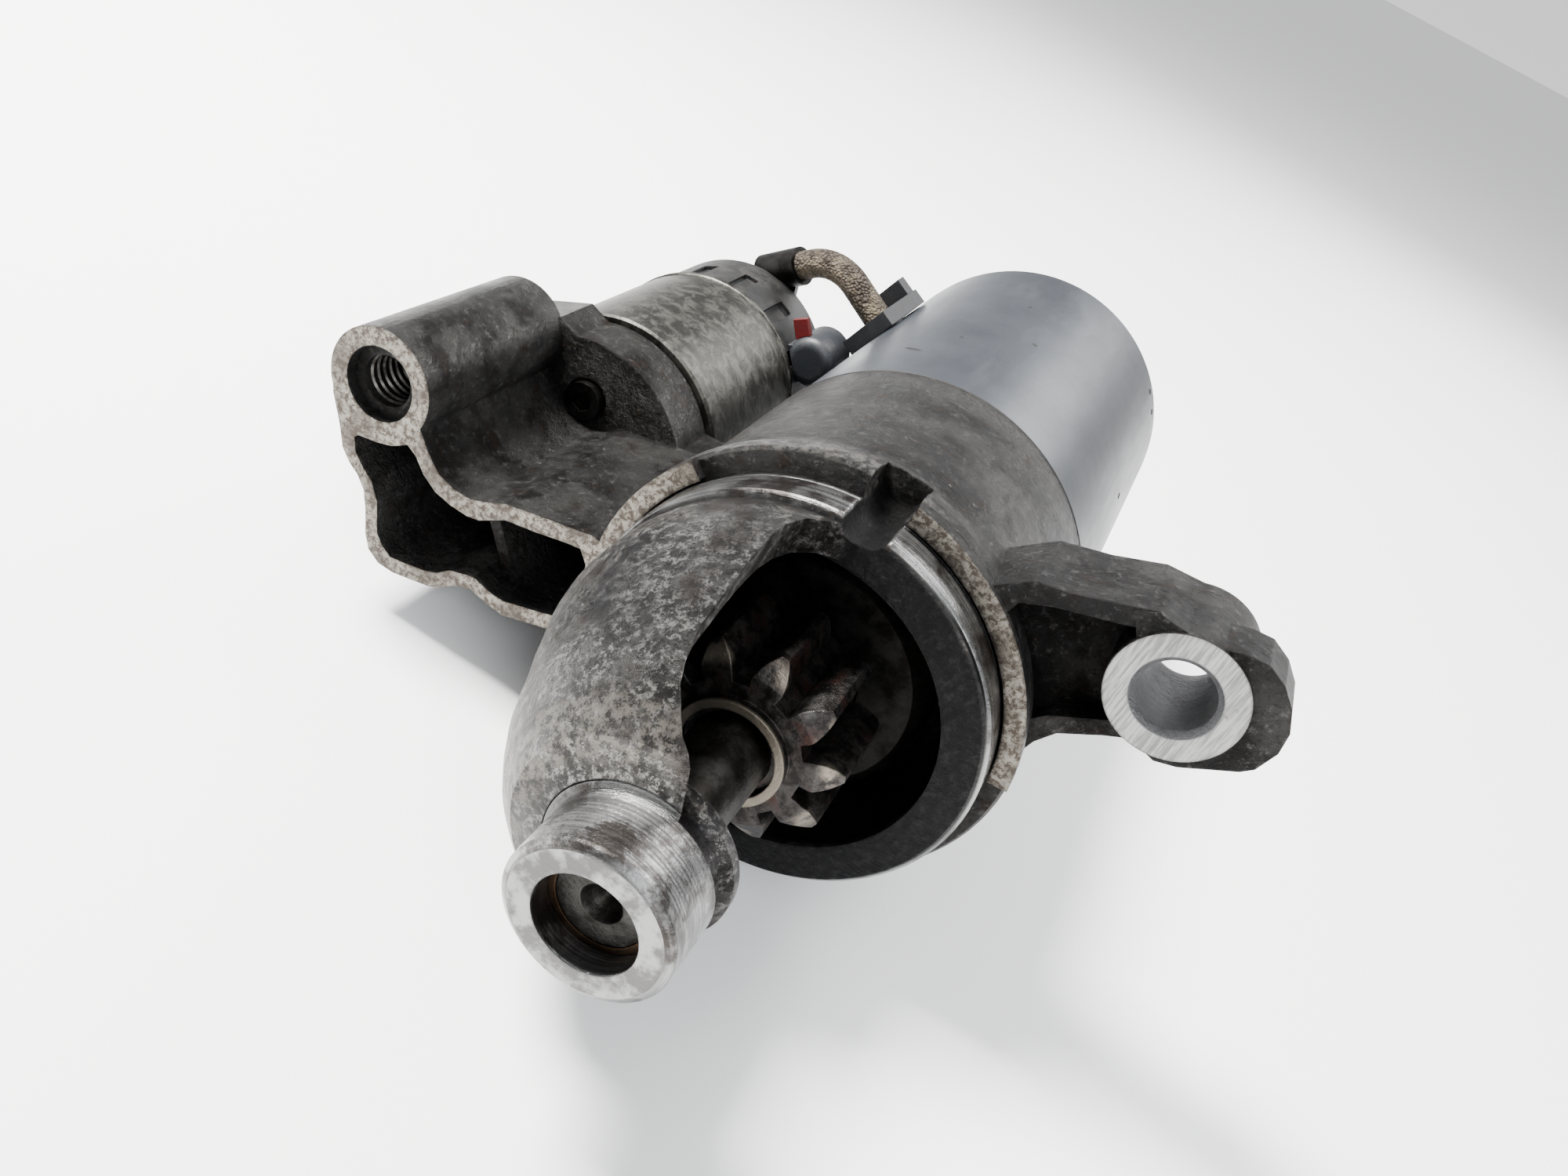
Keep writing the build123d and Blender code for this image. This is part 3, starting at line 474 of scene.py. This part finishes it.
# The dark joint between the housing and the yoke.
seam_section = [
    (39.2, SEAM_Y - 0.2), (40.06, SEAM_Y - 0.15), (40.06, SEAM_Y + 0.25), (39.2, SEAM_Y + 0.3)]
verts, faces = ring_mesh(seam_section, 128)
seam_finish = plastic("seam_soot", (0.012, 0.012, 0.013), (0.04, 0.04, 0.04), 0.6)
piece("yoke_seam", verts, faces, seam_finish, "frame")


def stake(name, angle, y, along, across, turn_deg):
    """A small dark dent with a raised lip on the yoke: a shallow bowl laid on the surface."""
    verts = []
    faces = []
    rings = ((1.0, 0.02), (0.8, 0.10), (0.55, 0.04), (0.0, 0.03))
    steps = 24
    tilt = math.radians(turn_deg)
    for share, lift in rings:
        for i in range(steps):
            a = 2 * math.pi * i / steps
            du, dv = share * along * math.cos(a), share * across * math.sin(a)
            dy = du * math.cos(tilt) - dv * math.sin(tilt)
            arc = du * math.sin(tilt) + dv * math.cos(tilt)
            turned = math.radians(angle) + arc / YOKE_R
            radius = YOKE_R + lift
            verts.append(from_upright(radius * math.cos(turned), y + dy, radius * math.sin(turned)))
    for r in range(len(rings) - 1):
        for i in range(steps):
            j = (i + 1) % steps
            faces.append((r * steps + i, r * steps + j, (r + 1) * steps + j, (r + 1) * steps + i))
    return piece(name, verts, faces, seam_finish, "frame")


# Angle about the motor axis, y, half length, half width, turn.
STAKES = [
    (86, 78.3, 2.6, 0.45, 62), (55, 105.5, 0.8, 0.7, 0), (7, 162.0, 1.3, 0.8, 0),
    (-1, 161.5, 1.3, 0.8, 0), (-8, 108.3, 1.2, 0.5, 20), (76, 92.0, 0.5, 0.4, 0),
    (66, 131.0, 0.6, 0.5, 0), (140, 160.5, 1.3, 0.8, 0), (200, 160.5, 1.3, 0.8, 0), (290, 160.5, 1.3, 0.8, 0),
]
for index, mark in enumerate(STAKES):
    stake("yoke_stake_" + str(index + 1), *mark)

# ---------------------------------------------------------------- studio
camera_data = bpy.data.cameras.new("camera")
camera_data.sensor_width = 36.0
camera_data.lens = 28.65
camera_data.clip_start = 0.005
camera = bpy.data.objects.new("camera", camera_data)
bpy.context.scene.collection.objects.link(camera)
EYE = from_upright(90.432, -176.642, 97.046)
RIGHT = from_upright(0.90921754, 0.38799448, -0.15094289).normalized()
DOWN = from_upright(0.01986534, -0.40258304, -0.91516789).normalized()
AHEAD = RIGHT.cross(DOWN).normalized()
DOWN = AHEAD.cross(RIGHT).normalized()
turn = Matrix((RIGHT, -DOWN, -AHEAD)).transposed()
camera.matrix_world = Matrix.Translation(EYE) @ turn.to_4x4()
bpy.context.scene.camera = camera

low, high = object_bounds()
floor_mesh = bpy.data.meshes.new("floor")
reach = 40.0
floor_mesh.from_pydata(
    [(-reach, -reach, 0), (reach, -reach, 0), (reach, reach, 0), (-reach, reach, 0)], [], [(0, 1, 2, 3)])
floor = bpy.data.objects.new("floor", floor_mesh)
floor.location = (0, 0, low[2])
bpy.context.scene.collection.objects.link(floor)
paper = Shader("floor_paper", roughness=0.9, specular=0.1)
paper.colour((0.96, 0.96, 0.96), 1.0)
floor_mesh.materials.append(paper.mat)


def lamp(name, place, aim, size, power, colour=(1.0, 1.0, 1.0)):
    data = bpy.data.lights.new(name, "AREA")
    data.shape = "DISK"
    data.size = size
    data.energy = power
    data.color = colour
    ob = bpy.data.objects.new(name, data)
    ob.location = place
    direction = Vector(aim) - Vector(place)
    ob.rotation_euler = direction.to_track_quat("-Z", "Y").to_euler()
    bpy.context.scene.collection.objects.link(ob)
    return ob


key = lamp("key_light", (-0.55, 0.05, 0.75), (0, 0.02, 0), 0.32, 50.0, (1.0, 0.99, 0.97))
fill = lamp("fill_light", (0.45, -0.75, 0.65), (0, 0.0, 0), 0.5, 11.0, (0.94, 0.97, 1.0))
rim = lamp("rim_light", (0.25, 0.8, 0.6), (0, 0.1, 0), 0.5, 10.0)
world = bpy.data.worlds.new("studio")
bpy.context.scene.world = world
world.use_nodes = True
sky = world.node_tree
toward = sky.nodes.new("ShaderNodeTexCoord")
height = sky.nodes.new("ShaderNodeSeparateXYZ")
band = sky.nodes.new("ShaderNodeValToRGB")
band.color_ramp.elements[0].position = 0.0
band.color_ramp.elements[0].color = (1.0, 1.0, 1.0, 1.0)
band.color_ramp.elements[1].position = 0.85
band.color_ramp.elements[1].color = (1.0, 1.0, 1.0, 1.0)
# Bright at the horizon, dark above it and bright again overhead.
SKY_BANDS = ((0.09, (0.95, 0.95, 0.95)), (0.15, (0.20, 0.21, 0.225)), (0.35, (0.27, 0.285, 0.31)))
for height_share, tone in SKY_BANDS:
    element = band.color_ramp.elements.new(height_share)
    element.color = (*tone, 1.0)
sky.links.new(toward.outputs["Generated"], height.inputs[0])
sky.links.new(height.outputs[2], band.inputs[0])
sky.links.new(band.outputs[0], sky.nodes["Background"].inputs["Color"])
sky.nodes["Background"].inputs["Strength"].default_value = 1.1
